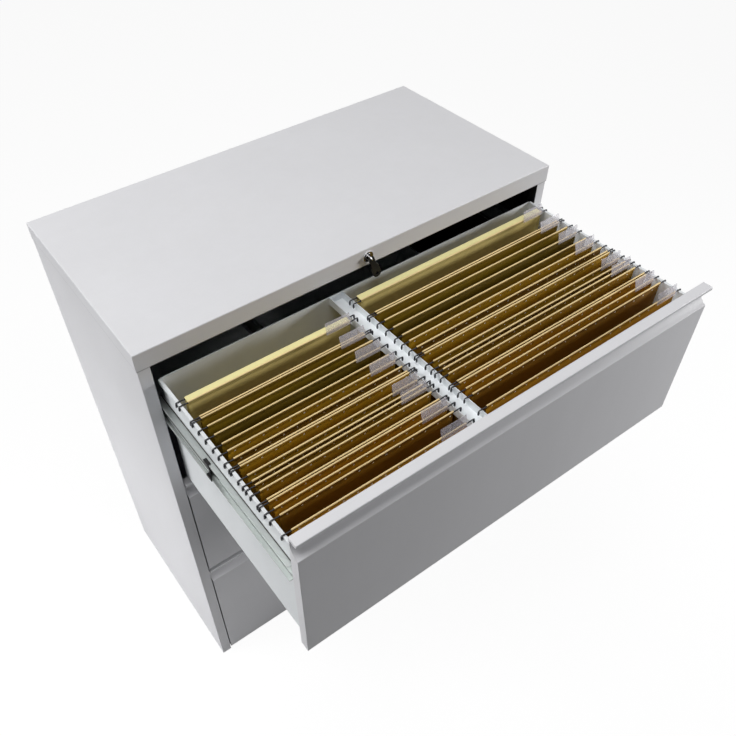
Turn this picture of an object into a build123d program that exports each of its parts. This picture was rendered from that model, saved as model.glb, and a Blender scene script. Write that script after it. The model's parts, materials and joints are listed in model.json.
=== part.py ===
from build123d import *
import math
import os

# Three-drawer lateral filing cabinet in folded sheet steel, in millimetres.
# The origin is on the floor under the middle of the cabinet: X to the right, Y to the back, Z up.
# The top drawer is drawn fully open and the two lower drawers shut.

# Cabinet shell
cabinet_width = 900.0
cabinet_depth = 452.0
cabinet_height = 1027.0
sheet = 1.0
lid_height = 34.6
lid_edge_radius = 2.0
lid_flange_depth = 24.0
stile_width = 22.0
stile_return = 18.0
rear_flange = 16.0
fold_radius = 1.4
base_height = 66.0
base_flange = 25.0
base_front_clearance = 2.5
upright_width = 40.0
upright_flange = 8.0
upright_sheet = 1.5
upright_setback = 45.0
foot_pad_radius = 15.0
foot_pad_height = 6.0
foot_stud_radius = 5.0
foot_stud_length = 40.0
foot_inset = 40.0
foot_hole_clearance = 0.5
gusset_thickness = 3.0

# Drawer fronts
front_side_gap = 2.5
lid_gap = 3.0
drawer_gap = 12.6
drawer_count = 3
stack_sink = 9.6
toe_gap = 7.6
front_depth = 18.5
throat_web = 2.5
lip_height = 6.4
groove_drop = 38.8
throat_height = 12.0
cove_bow = 2.2
front_edge_radius = 1.5
liner_margin = 6.0
front_window_margin = 14.0

# Drawer trays and hanging rails
travel_overlap = 3.5
hem_drop = 34.4
hem_height = 10.0
hem_thickness = 2.0
hem_out = 4.0
tray_spacing = 56.0
tray_rear_space = 39.5
rail_width = 30.0
rail_height = 16.0
narrow_bay = 332.0

# Slides
slide_height = 45.0
slide_thickness = 12.7
slide_rear_gap = 17.0
slide_setback = 31.0
slide_drop = 111.0
slide_behind_stile = 0.7
slide_metal = 1.2
slide_running_gap = 0.5
mid_shortfall = 50.0
mid_setback = 64.0
mid_share = 0.5
mid_recess = 4.5
race_height = 6.0
lever_setback = 264.0
lever_length = 30.0
lever_height = 9.0
lever_thickness = 3.5
lever_pin_radius = 2.0
lever_clearance = 0.2

# Lock and its linkage
lock_drop = 17.0
bezel_radius = 11.0
bezel_depth = 2.0
bezel_chamfer = 0.7
barrel_radius = 9.0
barrel_length = 24.0
nut_flats = 24.0
nut_depth = 4.0
plug_radius = 6.0
plug_proud = 0.6
turn_clearance = 0.1
shaft_radius = 4.0
crank_reach = 12.0
crank_thickness = 4.0
crank_pin_radius = 2.5
crank_pin_length = 8.0
crank_half_turn = 45.0
pin_slot_clearance = 0.6
bracket_sheet = 2.0
bracket_width = 26.0
key_lean = 20.0
key_blade_width = 7.0
key_blade_thickness = 2.0
key_blade_reach = 7.0
key_slot_depth = 20.0
key_bow_length = 46.0
key_bow_width = 17.0
key_bow_thickness = 4.0
key_bow_neck = 11.0
key_neck_length = 17.0
key_ring_hole = 3.2
key_pin_radius = 1.2
lock_bar_width = 28.0
lock_bar_thickness = 2.5
lock_bar_gap = 5.0
catch_drop = 40.0
catch_width = 16.0
catch_reach = 11.0
catch_lip = 14.0
catch_metal = 2.0
catch_slack = 3.0
tooth_lift = 4.0
tooth_thickness = 3.0
guide_wall = 1.5
guide_height = 30.0
guide_clearance = 0.3

# Hanging folders
file_clearance = 9.0
card = 1.0
card_floor_gap = 26.0
sleeve_height = 11.0
sleeve_rise = 4.0
rod_thickness = 1.6
rod_height = 8.0
rod_clearance = 0.2
hook_drop = 8.0
hook_reach = 6.0
hook_metal = 3.0
hook_clearance = 0.4
tab_width = 50.0
tab_height = 22.0
tab_sheet = 0.8
tab_rise = 17.0
tab_end_gap = 10.0
narrow_file_gap = 65.0
wide_file_gap = 31.0
last_file_gap = 12.0
# Each folder is a step from the one behind it and the opening between its two rods, and a row spreads them.
folder_places = ((0, 10), (47.5, 4.6), (24.6, 21.3), (43.2, 16.8), (34.3, 13.1), (17.7, 20.4), (33.1, 8.6),
                 (20.7, 18.6), (23.2, 14.1), (27.7, 29))
narrow_spread = 1.0
wide_spread = 1.09

# Places worked out from the sizes above
half_width = cabinet_width / 2
half_depth = cabinet_depth / 2
body_half_width = half_width - sheet
front_y = -half_depth + sheet
body_back_y = half_depth - sheet
rear_flange_y = body_back_y - 2 * sheet
lid_underside = cabinet_height - lid_height
stile_inner = body_half_width - stile_width
slide_outer = stile_inner + slide_behind_stile
tray_half_width = slide_outer - slide_thickness
front_half_width = stile_inner - front_side_gap
top_lip_z = lid_underside - lid_gap
drawer_pitch = (top_lip_z - base_height + stack_sink) / drawer_count
upper_front_height = drawer_pitch - drawer_gap
liner_back = front_depth + sheet
tray_height = drawer_pitch - tray_spacing
tray_length = body_back_y - sheet - tray_rear_space - front_y - liner_back
tray_back_face = liner_back + tray_length
drawer_travel = tray_back_face - travel_overlap
slide_front_y = front_y + slide_setback
slide_length = rear_flange_y - slide_rear_gap - slide_front_y
mid_length = slide_length - mid_shortfall
card_height = tray_height + sleeve_rise - sheet - card_floor_gap
lock_z = cabinet_height - lock_drop
parts = {}


def block(x0, x1, y0, y1, z0, z1):
    """A box between two corners."""
    return Pos((x0 + x1) / 2, (y0 + y1) / 2, (z0 + z1) / 2) * Box(x1 - x0, y1 - y0, z1 - z0)


def profile(points):
    """A flat face inside a closed outline of straight runs."""
    return make_face(Polyline(*points, close=True))


def along_x(face, x0, x1):
    """A section drawn as (y, z), carried from x0 to x1."""
    plane = Plane(origin=(x0, 0, 0), x_dir=(0, 1, 0), z_dir=(1, 0, 0))
    return extrude(plane * face, amount=x1 - x0, dir=(1, 0, 0))


def along_y(face, y0, y1):
    """A section drawn as (x, z), carried from y0 to y1."""
    plane = Plane(origin=(0, y1, 0), x_dir=(1, 0, 0), z_dir=(0, -1, 0))
    return extrude(plane * face, amount=y1 - y0, dir=(0, -1, 0))


def along_z(face, z0, z1):
    """A section drawn as (x, y), carried from z0 to z1."""
    return extrude(Pos(0, 0, z0) * face, amount=z1 - z0, dir=(0, 0, 1))


def rod_y(radius, x, z, y0, y1):
    """A round bar along Y."""
    return Pos(x, (y0 + y1) / 2, z) * Rot(90, 0, 0) * Cylinder(radius, y1 - y0)


def rod_x(radius, y, z, x0, x1):
    """A round bar along X."""
    return Pos((x0 + x1) / 2, y, z) * Rot(0, 90, 0) * Cylinder(radius, x1 - x0)


def folded(points, thickness):
    """A bent strip: the points are its outer line and the metal lies to the left of it."""
    count = len(points)
    normals = []
    for (x0, y0), (x1, y1) in zip(points, points[1:]):
        length = math.hypot(x1 - x0, y1 - y0)
        normals.append(((y0 - y1) / length, (x1 - x0) / length))
    inner = []
    for i, (x, y) in enumerate(points):
        before = normals[max(i - 1, 0)]
        after = normals[min(i, count - 2)]
        bend = 1 + before[0] * after[0] + before[1] * after[1]
        inner.append((x + thickness * (before[0] + after[0]) / bend,
                      y + thickness * (before[1] + after[1]) / bend))
    return profile([*points, *reversed(inner)])


def round_corner(face, x, y, radius):
    """The face with its corner nearest to a point rounded."""
    corner = face.vertices().sort_by_distance(Vector(x, y, 0))[0]
    return fillet(corner, radius)


# Side panels: the sheet, the stile folded from its front edge and the flange along its back edge
def side_panel(side):
    outline = [
        (-stile_inner, front_y + stile_return),
        (-stile_inner, front_y),
        (-body_half_width, front_y),
        (-body_half_width, rear_flange_y + sheet),
        (-body_half_width + rear_flange, rear_flange_y + sheet),
    ]
    outline = [(-side * x, y) for x, y in outline]
    if side < 0:
        section = folded(outline[::-1], sheet)
    else:
        section = folded(outline, sheet)
    section = round_corner(section, side * body_half_width, front_y, fold_radius)
    return along_z(section, 0, cabinet_height - sheet)


parts["left_side_panel"] = side_panel(-1)
parts["right_side_panel"] = side_panel(1)
back_panel = block(-body_half_width, body_half_width, body_back_y - sheet, body_back_y,
                   0, cabinet_height - sheet)

# Lid: a folded pan over the sides, with a flange under its front edge and the lock's hole
lid = block(-half_width, half_width, -half_depth, half_depth, lid_underside, cabinet_height)
lid = fillet(lid.faces().sort_by(Axis.Z)[-1].edges(), lid_edge_radius)
lid -= block(-body_half_width, body_half_width, front_y, body_back_y,
             lid_underside - sheet, cabinet_height - sheet)
lid += block(-stile_inner, stile_inner, -half_depth + sheet / 2, front_y + lid_flange_depth,
             lid_underside, lid_underside + sheet)
lid -= rod_y(barrel_radius + turn_clearance, 0, lock_z, -half_depth - sheet, front_y + sheet)
parts["top_panel"] = lid

# Base pan: closed on top and round the sides, with a flange turned in along the floor
base_front_y = front_y + liner_back + base_front_clearance
base_half_width = body_half_width - sheet
base = block(-base_half_width, base_half_width, base_front_y, rear_flange_y, 0, base_height)
base -= block(-base_half_width + sheet, base_half_width - sheet, base_front_y + sheet, rear_flange_y - sheet,
              sheet, base_height - sheet)
base -= block(-base_half_width + base_flange, base_half_width - base_flange,
              base_front_y + base_flange, rear_flange_y - base_flange, -sheet, 2 * sheet)

# Levelling feet: a pad level with the floor flange, its stud and the gusset nut that holds it
feet = []
foot_xs = (-base_half_width + foot_inset, base_half_width - foot_inset)
foot_ys = (base_front_y + foot_inset, rear_flange_y - foot_inset)
pad_hole = foot_pad_radius + foot_hole_clearance
for foot_x in foot_xs:
    for foot_y in foot_ys:
        place = Pos(foot_x, foot_y)
        pad = along_z(place * RegularPolygon(foot_pad_radius, 6), 0, foot_pad_height)
        stud = along_z(place * RegularPolygon(foot_stud_radius, 8), foot_pad_height,
                       foot_pad_height + foot_stud_length)
        feet.append(pad + stud)
        base -= along_z(place * RegularPolygon(pad_hole, 6), -sheet, 2 * sheet)
        gusset_x = math.copysign(base_half_width - sheet, foot_x)
        gusset_reach = foot_x - math.copysign(pad_hole, foot_x)
        gusset = block(min(gusset_x, gusset_reach), max(gusset_x, gusset_reach),
                       foot_y - pad_hole, foot_y + pad_hole,
                       foot_pad_height, foot_pad_height + gusset_thickness)
        stud_hole = place * RegularPolygon(foot_stud_radius + turn_clearance, 8)
        base += gusset - along_z(stud_hole, 0, base_height / 2)
parts["base_pan"] = base
parts["levelling_feet"] = Compound(feet)

# Uprights: channel posts between the side panels and the fixed slide members
upright_top = lid_underside - lid_gap
uprights = []
for side in (-1, 1):
    for post_y in (slide_front_y + upright_setback, slide_front_y + slide_length - upright_setback):
        near = post_y - upright_width / 2
        far = post_y + upright_width / 2
        wall = side * (body_half_width - sheet)
        face_x = side * (slide_outer + upright_sheet)
        outline = [(wall, near - upright_flange), (wall, near), (face_x, near),
                   (face_x, far), (wall, far), (wall, far + upright_flange)]
        section = folded(outline if side > 0 else outline[::-1], upright_sheet)
        uprights.append(along_z(section, base_height, upright_top))
parts["slide_uprights"] = Compound(uprights)


# Slides: three nested channels, each drawn by its distance from the tray and its half height
def slide_section(side, centre_z, tray_edge, open_edge, half, lip=0.0):
    """A channel whose web is at tray_edge or, when that lies further out, at its outer edge."""
    step = slide_metal if open_edge > tray_edge else -slide_metal
    web = tray_edge + step
    points = [(tray_edge, -half), (open_edge, -half)]
    if lip:
        points += [(open_edge, -half + lip), (open_edge - step, -half + lip)]
        points += [(open_edge - step, -half + slide_metal)]
    else:
        points += [(open_edge, -half + slide_metal)]
    points += [(web, -half + slide_metal)]
    points += [(u, -v) for u, v in reversed(points)]
    return profile([(side * (tray_half_width + u), centre_z + v) for u, v in points])


def middle_section(side, centre_z):
    """The middle channel, its web sunk between the two ball races."""
    race = half_mid - race_height
    sunk = mid_web - mid_recess
    line = [(mid_edge, -half_mid), (mid_web, -half_mid), (mid_web, -race), (sunk, -race),
            (sunk, race), (mid_web, race), (mid_web, half_mid), (mid_edge, half_mid)]
    line = [(side * (tray_half_width + u), centre_z + v) for u, v in line]
    return folded(line[::side], slide_metal)


half_outer = slide_height / 2
half_mid = half_outer - slide_metal - slide_running_gap
half_inner = half_mid - slide_metal - slide_running_gap
mid_web = slide_thickness - slide_metal - slide_running_gap
inner_reach = mid_web - slide_metal - slide_running_gap
outer_lip_edge = slide_thickness / 4
mid_edge = outer_lip_edge + slide_metal + slide_running_gap
outer_lip = half_outer - half_inner - slide_running_gap
lever_start = slide_metal + lever_clearance
lever_end = lever_start + lever_thickness


def add_slides(name, side_name, side, lip_z, pulled):
    """One slide: the fixed, middle and drawer members and the release lever in the last."""
    centre_z = lip_z - slide_drop
    outer = slide_section(side, centre_z, slide_thickness, outer_lip_edge, half_outer, outer_lip)
    parts[f"{name}_{side_name}_outer_slide"] = along_y(outer, slide_front_y, slide_front_y + slide_length)
    mid_y = front_y + mid_setback - pulled * mid_share
    mid = middle_section(side, centre_z)
    parts[f"{name}_{side_name}_middle_slide"] = along_y(mid, mid_y, mid_y + mid_length)
    inner_y = slide_front_y - pulled
    inner = slide_section(side, centre_z, 0.0, inner_reach, half_inner)
    inner = along_y(inner, inner_y, inner_y + slide_length)
    pivot_y = front_y + lever_setback - pulled
    ends = sorted((side * tray_half_width, side * (tray_half_width + lever_end)))
    inner += rod_x(lever_pin_radius, pivot_y, centre_z, *ends)
    parts[f"{name}_{side_name}_inner_slide"] = inner
    half = lever_height / 2
    tongue = profile([(pivot_y + half / 2, centre_z + half), (pivot_y + half, centre_z + half / 2),
                      (pivot_y + half, centre_z - half / 2), (pivot_y + half / 2, centre_z - half),
                      (pivot_y - half, centre_z - half), (pivot_y - lever_length, centre_z - half / 2),
                      (pivot_y - lever_length, centre_z + half)])
    tongue -= Pos(pivot_y, centre_z) * Circle(lever_pin_radius + lever_clearance)
    ends = sorted((side * (tray_half_width + lever_start), side * (tray_half_width + lever_end)))
    parts[f"{name}_{side_name}_release_lever"] = along_x(tongue, *ends)


# Drawer fronts: a folded panel with the finger groove under its lip
def front_section(height):
    """The front's closed outline, as (depth behind the face, height above its bottom edge)."""
    throat = front_depth - throat_web
    lip_under = height - lip_height
    cove_top = lip_under - throat_height
    face_top = height - groove_drop
    middle = (throat / 2 + cove_bow, (face_top + cove_top) / 2 - cove_bow)
    outline = [
        Line((0, 0), (0, face_top)),
        ThreePointArc((0, face_top), middle, (throat, cove_top)),
        Polyline((throat, cove_top), (throat, lip_under), (0, lip_under), (0, height),
                 (front_depth, height), (front_depth, 0), (0, 0)),
    ]
    face = make_face(outline)
    for corner in ((0, 0), (0, face_top), (0, lip_under), (0, height)):
        face = round_corner(face, *corner, front_edge_radius)
    return face


def add_front(name, lip_z, bottom_z, pulled):
    height = lip_z - bottom_z
    place = Pos(front_y - pulled, bottom_z)
    outside = front_section(height)
    panel = along_x(place * outside, -front_half_width, front_half_width)
    inside = offset(outside, amount=-sheet, kind=Kind.INTERSECTION)
    panel -= along_x(place * inside, -front_half_width + sheet, front_half_width - sheet)
    back_y = front_y + front_depth - pulled
    panel -= block(-front_half_width + front_window_margin, front_half_width - front_window_margin,
                   back_y - sheet - throat_web / 2, back_y + sheet,
                   bottom_z + front_window_margin, lip_z - groove_drop - front_window_margin)
    parts[f"{name}_front_panel"] = panel
    liner_half = front_half_width - liner_margin
    parts[f"{name}_front_liner"] = block(-liner_half, liner_half, back_y, back_y + sheet,
                                         bottom_z + liner_margin, lip_z - liner_margin)


# Trays: the folded bottom and sides, the back with its lock catch and the hanging rail between the bays
def add_tray(name, lip_z, pulled):
    hem_z = lip_z - hem_drop
    floor_z = hem_z - tray_height
    tray_front_y = front_y + liner_back - pulled
    tray_rear_y = tray_front_y + tray_length
    half = tray_half_width
    rim = half + hem_out
    right = [(half, floor_z), (half, hem_z - sheet), (rim - sheet, hem_z - sheet),
             (rim - sheet, hem_z - hem_height), (rim, hem_z - hem_height), (rim, hem_z),
             (half - sheet, hem_z), (half - sheet, floor_z + sheet)]
    left = [(-x, z) for x, z in reversed(right)]
    parts[f"{name}_tray"] = along_y(profile([*right, *left]), tray_front_y, tray_rear_y)
    back = profile([(tray_rear_y, floor_z), (tray_rear_y, hem_z), (tray_rear_y + hem_thickness, hem_z),
                    (tray_rear_y + hem_thickness, hem_z - hem_height),
                    (tray_rear_y + sheet, hem_z - hem_height), (tray_rear_y + sheet, floor_z)])
    back = along_x(back, -half, half)
    catch_z = hem_z - catch_drop
    catch_end = tray_rear_y + sheet + catch_reach
    catch_top = catch_z + catch_metal + catch_lip
    catch = profile([(tray_rear_y + sheet, catch_z), (catch_end, catch_z), (catch_end, catch_top),
                     (catch_end - catch_metal, catch_top), (catch_end - catch_metal, catch_z + catch_metal),
                     (tray_rear_y + sheet, catch_z + catch_metal)])
    catch = along_x(catch, lock_bar_x - catch_width / 2, lock_bar_x + catch_width / 2)
    parts[f"{name}_tray_back"] = Compound([back, catch])
    rail = [(rail_left, hem_z), (rail_left, hem_z - rail_height),
            (rail_right, hem_z - rail_height), (rail_right, hem_z)]
    parts[f"{name}_hanging_rail"] = along_y(folded(rail, sheet), tray_front_y, tray_rear_y)


# The lock bar stands behind the trays, centred on the crank pin's mean reach
rail_left = -tray_half_width + narrow_bay
rail_right = rail_left + rail_width
crank_near = crank_reach * math.cos(math.radians(crank_half_turn))
lock_bar_x = (crank_near + crank_reach) / 2
bar_stroke = 2 * crank_reach * math.sin(math.radians(crank_half_turn))
catch_rear_y = front_y + tray_back_face + sheet + catch_reach
bar_front_y = catch_rear_y + lock_bar_gap
bar_back_y = bar_front_y + lock_bar_thickness

drawers = {
    "top": (top_lip_z, top_lip_z - upper_front_height, drawer_travel),
    "middle": (top_lip_z - drawer_pitch, top_lip_z - drawer_pitch - upper_front_height, 0.0),
    "bottom": (top_lip_z - 2 * drawer_pitch, toe_gap, 0.0),
}
for drawer, (lip_z, bottom_z, pulled) in drawers.items():
    add_front(drawer, lip_z, bottom_z, pulled)
    add_tray(drawer, lip_z, pulled)
    for side_name, side in (("left", -1), ("right", 1)):
        add_slides(drawer, side_name, side, lip_z, pulled)

# Lock: the threaded body with its bezel, its nut behind the skirt, and the turning plug
bezel = rod_y(bezel_radius, 0, lock_z, -half_depth - bezel_depth, -half_depth)
bezel = chamfer(bezel.edges().sort_by(Axis.Y)[0], bezel_chamfer)
barrel = rod_y(barrel_radius, 0, lock_z, -half_depth, -half_depth + barrel_length)
plug_bore = rod_y(plug_radius + turn_clearance, 0, lock_z,
                  -half_depth - 2 * bezel_depth, -half_depth + 2 * barrel_length)
parts["lock_body"] = bezel + barrel - plug_bore
nut_plane = Plane(origin=(0, front_y, lock_z), x_dir=(1, 0, 0), z_dir=(0, 1, 0))
nut = nut_plane * RegularPolygon(nut_flats / 2, 6, major_radius=False)
nut = extrude(nut, amount=nut_depth, dir=(0, 1, 0))
nut_bore = rod_y(barrel_radius + turn_clearance, 0, lock_z, front_y - sheet, front_y + 2 * nut_depth)
parts["lock_nut"] = nut - nut_bore

plug_front_y = -half_depth - bezel_depth - plug_proud
plug_rear_y = -half_depth + barrel_length + bezel_depth
lean = Pos(0, 0, lock_z) * Rot(0, -key_lean, 0) * Pos(0, 0, -lock_z)
blade_half = key_blade_thickness / 2
plug = rod_y(plug_radius, 0, lock_z, plug_front_y, plug_rear_y)
plug -= lean * block(-blade_half - turn_clearance, blade_half + turn_clearance,
                     plug_front_y - sheet, plug_front_y + key_slot_depth,
                     lock_z - key_blade_width / 2 - turn_clearance,
                     lock_z + key_blade_width / 2 + turn_clearance)
parts["lock_plug"] = plug

# Key: the blade in the plug's slot and the bow folded down on a pin across the blade's end
hinge_y = plug_front_y - key_blade_reach
blade = block(-blade_half, blade_half, hinge_y, plug_front_y + key_slot_depth - turn_clearance,
              lock_z - key_blade_width / 2, lock_z + key_blade_width / 2)
blade += rod_x(key_blade_width / 2, hinge_y, lock_z, -blade_half, blade_half)
blade += rod_x(key_pin_radius, hinge_y, lock_z, -key_bow_neck / 2, key_bow_neck / 2)
parts["key_blade"] = lean * blade
bow_half = key_bow_width / 2
knuckle = key_blade_width / 2 + lever_clearance
bow_end = -key_bow_length + bow_half
neck_half = key_bow_neck / 2
shoulder = key_neck_length + bow_half - neck_half
bow = profile([(-bow_half, bow_end), (bow_half, bow_end), (bow_half, -shoulder),
               (neck_half, -key_neck_length), (neck_half, knuckle / 2), (-neck_half, knuckle / 2),
               (-neck_half, -key_neck_length), (-bow_half, -shoulder)])
bow += Pos(0, bow_end) * Circle(bow_half)
bow -= Pos(0, bow_end) * Circle(key_ring_hole)
bow -= Rectangle(key_blade_thickness + 2 * lever_clearance, 2 * knuckle + 2 * lever_clearance)
bow_plane = Plane(origin=(0, hinge_y + key_bow_thickness / 2, lock_z), x_dir=(1, 0, 0), z_dir=(0, -1, 0))
bow = extrude(bow_plane * bow, amount=key_bow_thickness, dir=(0, -1, 0))
bow -= rod_x(key_pin_radius + turn_clearance, hinge_y, lock_z, -key_bow_width, key_bow_width)
parts["key_bow"] = lean * bow

# Linkage: a shaft from the plug to the back, its crank, and the bar that the crank pin lifts
crank_y = bar_front_y - crank_thickness - slide_running_gap
shaft = rod_y(shaft_radius, 0, lock_z, plug_rear_y, crank_y + crank_thickness)
arm_angle = math.radians(crank_half_turn)
pin_x = crank_reach * math.cos(arm_angle)
pin_z = crank_reach * math.sin(arm_angle)
arm = SlotCenterToCenter(crank_reach, 4 * crank_pin_radius)
arm_plane = Plane(origin=(pin_x / 2, crank_y, lock_z + pin_z / 2),
                  x_dir=(math.cos(arm_angle), 0, math.sin(arm_angle)), z_dir=(0, 1, 0))
shaft += extrude(arm_plane * arm, amount=crank_thickness, dir=(0, 1, 0))
pin_end_y = crank_y + crank_thickness + crank_pin_length
shaft += rod_y(crank_pin_radius, pin_x, lock_z + pin_z, crank_y, pin_end_y)
parts["lock_shaft"] = shaft
bracket_y = crank_y - 2 * crank_thickness
bracket_half = bracket_width / 2
bracket_top = cabinet_height - sheet
bracket = block(-bracket_half, bracket_half, bracket_y, bracket_y + bracket_sheet,
                lock_z - shaft_radius * 2, bracket_top)
bracket += block(-bracket_half, bracket_half, bracket_y - bracket_half, bracket_y + bracket_sheet,
                 bracket_top - bracket_sheet, bracket_top)
parts["shaft_bracket"] = bracket - rod_y(shaft_radius + turn_clearance, 0, lock_z,
                                         bracket_y - sheet, bracket_y + 2 * bracket_sheet)

bar_left = lock_bar_x - lock_bar_width / 2
bar_right = lock_bar_x + lock_bar_width / 2
lowest_hem = top_lip_z - 2 * drawer_pitch - hem_drop
bar_bottom = lowest_hem - catch_drop - catch_lip
bar_top = lock_z + pin_z + 3 * crank_pin_radius
bar_top = min(bar_top, cabinet_height - 2 * sheet)
bar = block(bar_left, bar_right, bar_front_y, bar_back_y, bar_bottom, bar_top)
slot_half = crank_pin_radius + pin_slot_clearance
bar -= block(crank_near - slot_half, crank_reach + slot_half, bar_front_y - sheet, bar_back_y + sheet,
             lock_z + pin_z - slot_half, lock_z + pin_z + slot_half)
bar_pieces = [bar]
back_pieces = [back_panel]
for lip_z, _, _ in drawers.values():
    lip_top = lip_z - hem_drop - catch_drop + catch_metal + catch_lip
    tooth_front = catch_rear_y - catch_metal - catch_slack - tooth_thickness
    tooth_bottom = lip_top + tooth_lift
    arm_bottom = tooth_bottom + bar_stroke
    tooth = profile([(tooth_front, tooth_bottom), (tooth_front + tooth_thickness, tooth_bottom),
                     (tooth_front + tooth_thickness, arm_bottom), (bar_front_y, arm_bottom),
                     (bar_front_y, arm_bottom + tooth_thickness),
                     (tooth_front, arm_bottom + tooth_thickness)])
    bar_pieces.append(along_x(tooth, lock_bar_x - catch_width / 2, lock_bar_x + catch_width / 2))
    guide_z = lip_z - hem_drop - catch_drop - drawer_pitch / 2
    if guide_z > bar_bottom + bar_stroke + guide_height:
        ring = block(bar_left - guide_clearance - guide_wall, bar_right + guide_clearance + guide_wall,
                     bar_front_y - guide_clearance - guide_wall, body_back_y - sheet,
                     guide_z, guide_z + guide_height)
        ring -= block(bar_left - guide_clearance, bar_right + guide_clearance,
                      bar_front_y - guide_clearance, body_back_y - sheet - guide_wall,
                      guide_z - sheet, guide_z + guide_height + sheet)
        back_pieces.append(ring)
parts["lock_bar"] = Compound(bar_pieces)
parts["back_panel"] = Compound(back_pieces)


# Hanging folders: cards folded into pockets, each hung by two hooked rods, with a clear tab
def folder_section(rear_y, opening, hem_z):
    """A card pocket seen from its end, with a sleeve for a rod along each top edge."""
    sleeve_half = rod_thickness / 2 + rod_clearance + card
    top_z = hem_z + sleeve_rise
    bottom_z = top_z - card_height
    crease = opening / 3
    card_line = [(rear_y + card / 2, top_z), (rear_y + card / 2, bottom_z + crease),
                 (rear_y - crease, bottom_z), (rear_y - opening + crease, bottom_z),
                 (rear_y - opening - card / 2, bottom_z + crease), (rear_y - opening - card / 2, top_z)]
    section = folded(card_line[::-1], card)
    slot = Rectangle(2 * (sleeve_half - card), rod_height + 2 * rod_clearance)
    for rod in (rear_y, rear_y - opening):
        section += Pos(rod, top_z - sleeve_height / 2) * Rectangle(2 * sleeve_half, sleeve_height)
        section -= Pos(rod, top_z - sleeve_height / 2) * slot
    return section


def rod_section(left, right, hem_z):
    """A flat rod seen from the front, with a hook over the metal edge at each end."""
    top = hem_z + sleeve_rise - sleeve_height / 2 + rod_height / 2
    low = top - rod_height
    seat = hem_z + turn_clearance
    tip = hem_z - hook_drop
    left_tip = left - hook_reach
    right_tip = right + hook_reach
    return profile([
        (left_tip - hook_metal, tip), (left_tip, tip), (left_tip, seat), (left, seat), (left, low),
        (right, low), (right, seat), (right_tip, seat), (right_tip, tip), (right_tip + hook_metal, tip),
        (right_tip + hook_metal, top), (left_tip - hook_metal, top),
    ])


def add_folders(name, left, right, first_gap, spread):
    """One row of folders between the two metal edges whose inner faces are at left and right."""
    hem_z = top_lip_z - hem_drop
    rear_y = front_y - drawer_travel + tray_back_face - first_gap
    sleeve_half = rod_thickness / 2 + rod_clearance + card
    rod = rod_section(left + hook_clearance, right - hook_clearance, hem_z)
    front_limit = front_y - drawer_travel + liner_back + last_file_gap
    places = []
    for step, rod_gap in folder_places:
        rear_y -= spread * step
        opening = spread * rod_gap
        if rear_y - opening - sleeve_half < front_limit:
            break
        places.append((rear_y, opening))
    cards, rods, tabs = [], [], []
    tab_right = right - tab_end_gap
    tab_top = hem_z + sleeve_rise + tab_rise
    next_rears = [place + sleeve_half for place, _ in places[1:]] + [front_limit - last_file_gap]
    for (rear_y, opening), next_rear in zip(places, next_rears):
        section = folder_section(rear_y, opening, hem_z)
        cards.append(along_x(section, left + file_clearance, right - file_clearance))
        for rod_place in (rear_y, rear_y - opening):
            rods.append(along_y(rod, rod_place - rod_thickness / 2, rod_place + rod_thickness / 2))
        tab_y = rear_y - opening - sleeve_half
        if tab_y - next_rear > 2 * tab_sheet:
            tabs.append(block(tab_right - tab_width, tab_right, tab_y - tab_sheet, tab_y,
                              tab_top - tab_height, tab_top))
    parts[f"{name}_folder_cards"] = Compound(cards)
    parts[f"{name}_folder_rods"] = Compound(rods)
    parts[f"{name}_folder_tabs"] = Compound(tabs)


add_folders("narrow", -tray_half_width + sheet, rail_left, narrow_file_gap, narrow_spread)
add_folders("wide", rail_right, tray_half_width - sheet, wide_file_gap, wide_spread)

os.makedirs("parts", exist_ok=True)
for part_name, shape in parts.items():
    export_step(shape, f"parts/{part_name}.step")
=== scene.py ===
"""Looks for a three-drawer steel lateral filing cabinet with two rows of hanging folders.

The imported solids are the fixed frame: sheet metal, slides and lock keep their shapes and get finishes,
and the hanging folders, their rods and tabs are modelled again in finer detail where the solids stand.
"""

from __future__ import annotations

import json
import logging
import math
import random
from dataclasses import dataclass, field, replace
from enum import Enum
from functools import partial
from typing import Callable, ClassVar

import bmesh
import bpy
from bmesh.types import BMesh, BMVert
from bpy.types import Material, Node, NodeOutputs, NodeSocket, NodeTree, Object
from mathutils import Matrix, Vector

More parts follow.
